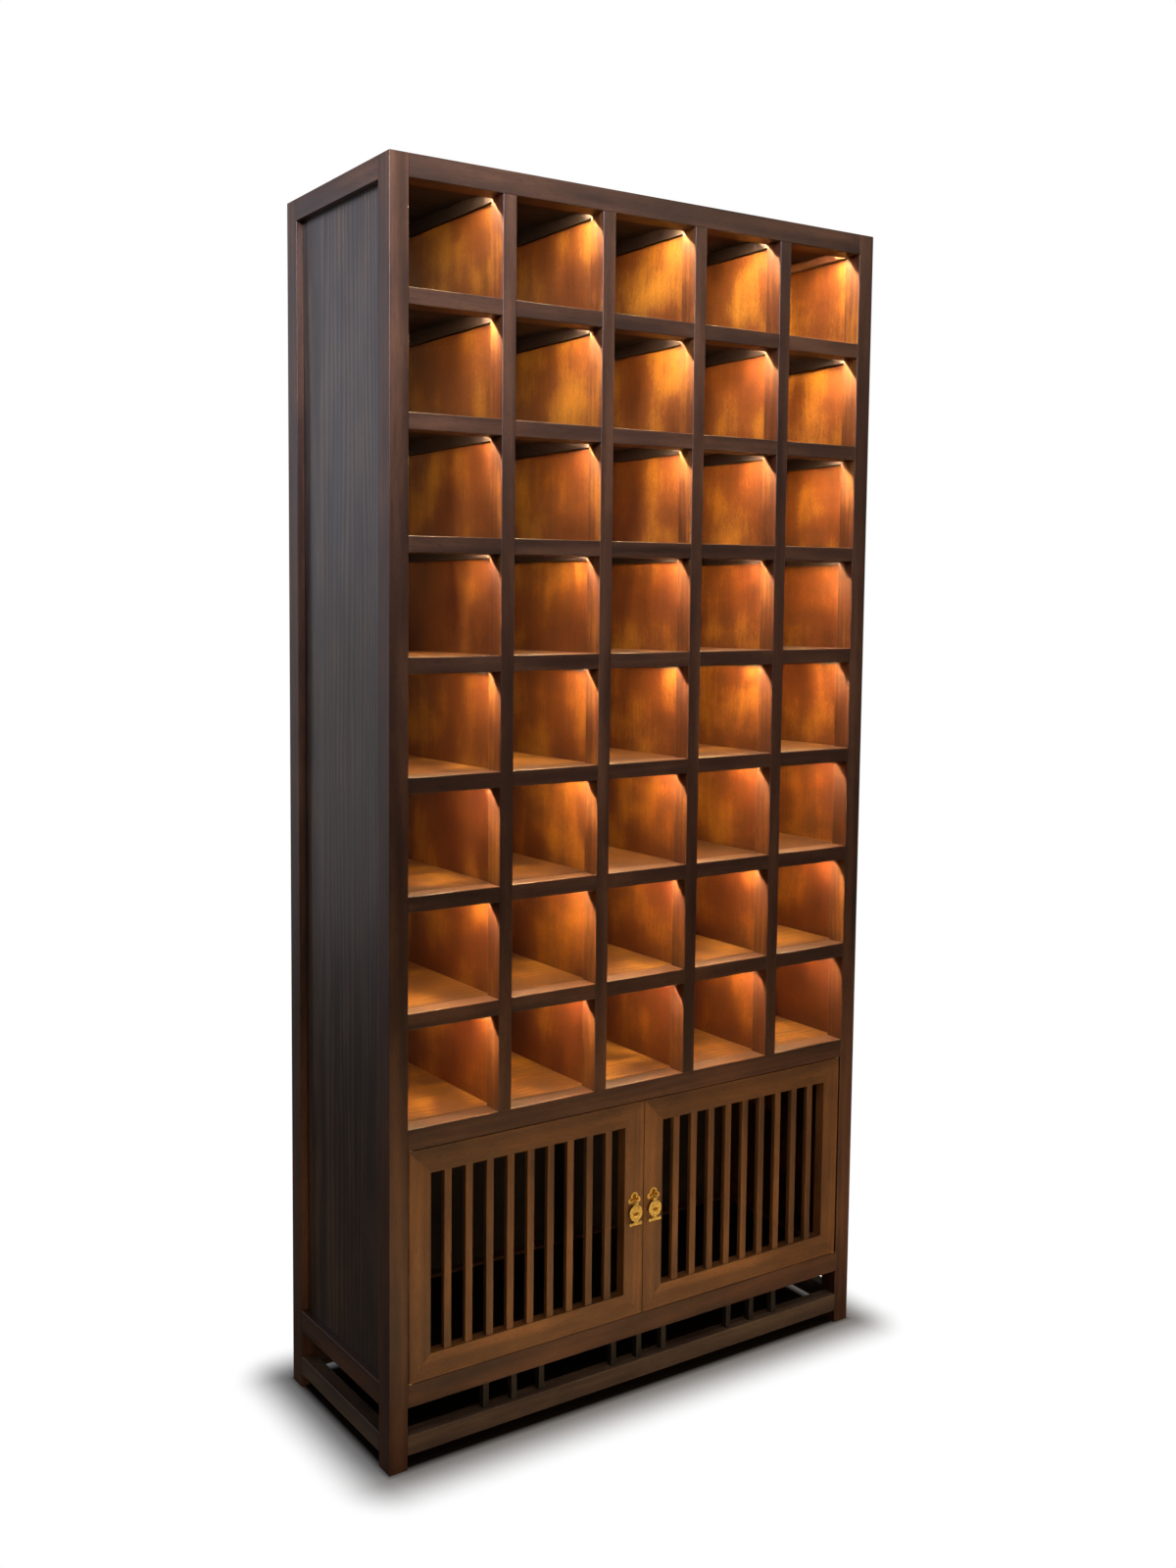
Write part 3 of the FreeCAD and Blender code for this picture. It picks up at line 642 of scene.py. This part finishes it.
waist = [(-7.5, -33.0), (-5.0, -35.6), (-4.4, -37.4), (-6.0, -39.8)]
waist += [(-x, y) for x, y in reversed(waist)]
neck = [(-eye_half, -1.5), (-eye_half, -2.6), (-4.6, -5.6)]
neck += [(-x, y) for x, y in reversed(neck)]
eye = [ellipse(0, ear_radius, ear_radius, -pin_out), ellipse(0, pin_hole, pin_hole, -pin_out)]
ring = ellipse(ring_y, ring_half_width, ring_half_height)
rim_inside = ellipse(ring_y, ring_half_width - ring_rim, ring_half_height - ring_rim)
web = ellipse(ring_y, ring_half_width - web_inset, ring_half_height - web_inset)
window = ellipse(window_y, window_half_width, window_half_height)
lip = ellipse(window_y, window_half_width + window_lip, window_half_height + window_lip)
pane = ellipse(window_y, window_half_width + pane_overlap, window_half_height + pane_overlap)
bead = ellipse(bead_y, bead_radius, bead_radius)
foot = dumbbell(foot_y, foot_half, foot_half_height, foot_end)
for side in ("left", "right"):
    assembled(side + "_handle_pendant_casting", side, side + "_pendant",
              side + "_handle_pendant",
              [crosswise(casting(eye, -eye_half, 2 * eye_half, eye_edge)),
               layered([neck], neck_layer), layered([ring, rim_inside], ring_layer),
               layered([web, window], web_layer), layered([lip, window], lip_layer),
               layered([bead], bead_layer), layered([waist], waist_layer),
               layered([foot], foot_layer)],
              [layered([pane], pane_layer)])


# Catches
# Brown moulded plastic cases under the head rail, with a fine spark-eroded texture, which
# leaves them dull. Grains are 0.4 mm apart.
grains_per_metre = 2500.0
catch_plastic, tree, shader = surface("brown_moulded_plastic")
shader.inputs["Base Color"].default_value = linear("#3A281C")
place = add(tree, "TexCoord").outputs["Object"]
texture = add(tree, "TexNoise", {"Vector": place, "Scale": grains_per_metre, "Detail": 1.0})
gloss = add(tree, "MapRange", {"Value": texture.outputs["Fac"], "To Min": 0.45, "To Max": 0.65})
tree.links.new(gloss.outputs["Result"], shader.inputs["Roughness"])
relief = add(tree, "Bump", {"Strength": 0.3, "Distance": 0.0001,
                            "Height": texture.outputs["Fac"]})
tree.links.new(relief.outputs["Normal"], shader.inputs["Normal"])
dress(["catch_bodies"], catch_plastic)


# Strikes
# Thin plates of zinc-plated steel on the doors, which the catches' magnets hold. The zinc has
# spangles about 3 mm wide.
spangles_per_metre = 350.0
zinc, tree, shader = surface("zinc_plated_steel")
shader.inputs["Metallic"].default_value = 1.0
place = add(tree, "TexCoord").outputs["Object"]
spangle = add(tree, "TexVoronoi", {"Vector": place, "Scale": spangles_per_metre})
tint = add(tree, "ValToRGB", {"Fac": spangle.outputs["Distance"]},
           stops=[(0.0, linear("#8F9296")), (1.0, linear("#B4B7BA"))])
tree.links.new(tint.outputs["Color"], shader.inputs["Base Color"])
shader.inputs["Roughness"].default_value = 0.38
dress(["left_door_strike", "right_door_strike"], zinc)


# Light driver
# A case of white moulded plastic, high on the back panel in the cupboard, with a fine eroded
# texture of grains half a millimetre apart.
case_grains_per_metre = 1800.0
case, tree, shader = surface("white_moulded_plastic")
place = add(tree, "TexCoord").outputs["Object"]
texture = add(tree, "TexNoise", {"Vector": place, "Scale": case_grains_per_metre, "Detail": 2.0})
tint = add(tree, "ValToRGB", {"Fac": texture.outputs["Fac"]},
           stops=[(0.3, linear("#B9B6AE")), (0.7, linear("#C9C7C0"))])
tree.links.new(tint.outputs["Color"], shader.inputs["Base Color"])
shader.inputs["Roughness"].default_value = 0.55
relief = add(tree, "Bump", {"Strength": 0.3, "Distance": 0.0001,
                            "Height": texture.outputs["Fac"]})
tree.links.new(relief.outputs["Normal"], shader.inputs["Normal"])
dress(["light_driver"], case)


# Cable grommet
# Black moulded plastic, pushed into its hole in the back panel. It is slightly glossy in
# patches 8 mm wide, where hands and cables have rubbed it.
rubbed_patches_per_metre = 120.0
black, tree, shader = surface("black_moulded_plastic")
shader.inputs["Base Color"].default_value = linear("#1C1B1A")
place = add(tree, "TexCoord").outputs["Object"]
rubbing = add(tree, "TexNoise", {"Vector": place, "Scale": rubbed_patches_per_metre,
                                 "Detail": 4.0})
gloss = add(tree, "MapRange", {"Value": rubbing.outputs["Fac"], "To Min": 0.35, "To Max": 0.6})
tree.links.new(gloss.outputs["Result"], shader.inputs["Roughness"])
dress(["cable_grommet"], black)


# Floor
# A pale studio floor that keeps the cabinet's shadow. Under the cabinet it is painted dark, as
# painted shade, for all rays. The camera sees it turn to white within 130 mm of it, while other
# rays find it a plain grey.
floor_reach = 30
shadow_reach = 0.13
edge_blur = 0.01
floor_mesh = bpy.data.meshes.new("Floor")
floor_mesh.from_pydata([(-floor_reach, -floor_reach, 0), (floor_reach, -floor_reach, 0),
                        (floor_reach, floor_reach, 0), (-floor_reach, floor_reach, 0)],
                       [], [(0, 1, 2, 3)])
floor = bpy.data.objects.new("Floor", floor_mesh)
bpy.context.scene.collection.objects.link(floor)
pale, tree, shader = surface("pale_studio_floor")
floor_mesh.materials.append(pale)
shader.inputs["Roughness"].default_value = 0.9
shader.inputs["Specular IOR Level"].default_value = 0.0
shader.inputs["Emission Color"].default_value = (1, 1, 1, 1)
place = add(tree, "SeparateXYZ", {0: add(tree, "TexCoord").outputs["Object"]})
past = []
for axis, middle, length in (("X", 0.0, width), ("Y", front + depth / 2, depth)):
    from_middle = add(tree, "Math", {0: place.outputs[axis], 1: middle}, operation="SUBTRACT")
    distance = add(tree, "Math", {0: from_middle.outputs[0]}, operation="ABSOLUTE")
    past.append(add(tree, "Math", {0: distance.outputs[0], 1: length / 2},
                    operation="SUBTRACT").outputs[0])
edge = add(tree, "Math", {0: past[0], 1: past[1]}, operation="MAXIMUM").outputs[0]
# Painted shade: the floor's colour is dark inside the cabinet's footprint.
clear_of_painted_shade = add(tree, "MapRange", {"Value": edge, "From Min": -edge_blur, "From Max": edge_blur})
outwards = [add(tree, "Math", {0: length, 1: 0.0}, operation="MAXIMUM").outputs[0]
            for length in past]
corner = add(tree, "CombineXYZ", {0: outwards[0], 1: outwards[1]})
away = add(tree, "VectorMath", {0: corner.outputs[0]}, operation="LENGTH").outputs["Value"]
far = add(tree, "MapRange", {"Value": away, "From Min": 0.0, "From Max": shadow_reach},
          interpolation_type="SMOOTHSTEP")
near = add(tree, "Mix", {0: clear_of_painted_shade.outputs["Result"], 6: linear("#241F1B"),
                         7: linear("#CDD2D8")}, data_type="RGBA")
shown = add(tree, "Mix", {0: far.outputs["Result"], 6: near.outputs[2], 7: (0, 0, 0, 1)},
            data_type="RGBA")
plain = add(tree, "Mix", {0: clear_of_painted_shade.outputs["Result"], 6: linear("#2E2925"),
                          7: linear("#98938C")}, data_type="RGBA")
seen = add(tree, "LightPath").outputs["Is Camera Ray"]
tint = add(tree, "Mix", {0: seen, 6: plain.outputs[2], 7: shown.outputs[2]}, data_type="RGBA")
tree.links.new(tint.outputs[2], shader.inputs["Base Color"])
glow = add(tree, "Math", {0: seen, 1: far.outputs["Result"]}, operation="MULTIPLY").outputs[0]
tree.links.new(glow, shader.inputs["Emission Strength"])


# World
# A studio that the camera sees as white. It lights the cabinet weakly, with a slightly warm
# grey.
world = bpy.data.worlds.new("World")
bpy.context.scene.world = world
world.use_nodes = True
tree = world.node_tree
seen = add(tree, "LightPath").outputs["Is Camera Ray"]
air = add(tree, "Mix", {0: seen, 6: (0.10, 0.085, 0.075, 1), 7: (1, 1, 1, 1)},
          data_type="RGBA")
tree.links.new(air.outputs[2], tree.nodes["Background"].inputs["Color"])


# Lamps
# Soft boxes: a broad one overhead, a cool one close to the top on the left, a warm one high
# in front on the right, two cool ones behind for the sheen of the left side, and a narrow
# warm one low in front of the doors.
def soft_box(name, place, target, size, power, colour, spread=180):
    """A lamp that faces its target, with its power in watts and its spread in degrees."""
    data = bpy.data.lights.new(name, "AREA")
    data.shape = "RECTANGLE"
    data.size, data.size_y = size
    data.energy = power
    data.color = linear(colour)[:3]
    data.spread = radians(spread)
    lamp = bpy.data.objects.new(name, data)
    lamp.location = place
    lamp.visible_camera = False
    lamp.rotation_euler = (Vector(target) - Vector(place)).to_track_quat("-Z", "Y").to_euler()
    bpy.context.scene.collection.objects.link(lamp)


soft_box("Overhead", (-0.3, -1.0, 4.2), (-0.1, -0.2, 0.5), (3.0, 3.0), 28, "#FFFFFF")
soft_box("TopLeft", (-1.5, -1.7, 3.1), (-0.2, -0.1, 2.4), (1.0, 1.0), 22, "#D2E0FF", 60)
soft_box("HighFront", (2.4, -3.2, 4.2), (0, -0.2, 2.4), (3.4, 0.9), 27, "#FFE0C4")
soft_box("BackLeft", (-3.1, 3.8, 2.8), (-0.6, 0, 1.6), (3.6, 2.4), 30, "#E0E8FA")
soft_box("BackLeftLow", (-3.1, 3.8, 0.7), (-0.6, 0, 0.9), (3.6, 1.8), 13, "#F6F2F6")
soft_box("WarmFront", (-0.55, -3.4, 0.75), (0.1, -0.2, 0.34), (1.5, 0.4), 2.2, "#FFDDB0", 22)

bpy.context.scene.view_settings.view_transform = "Standard"
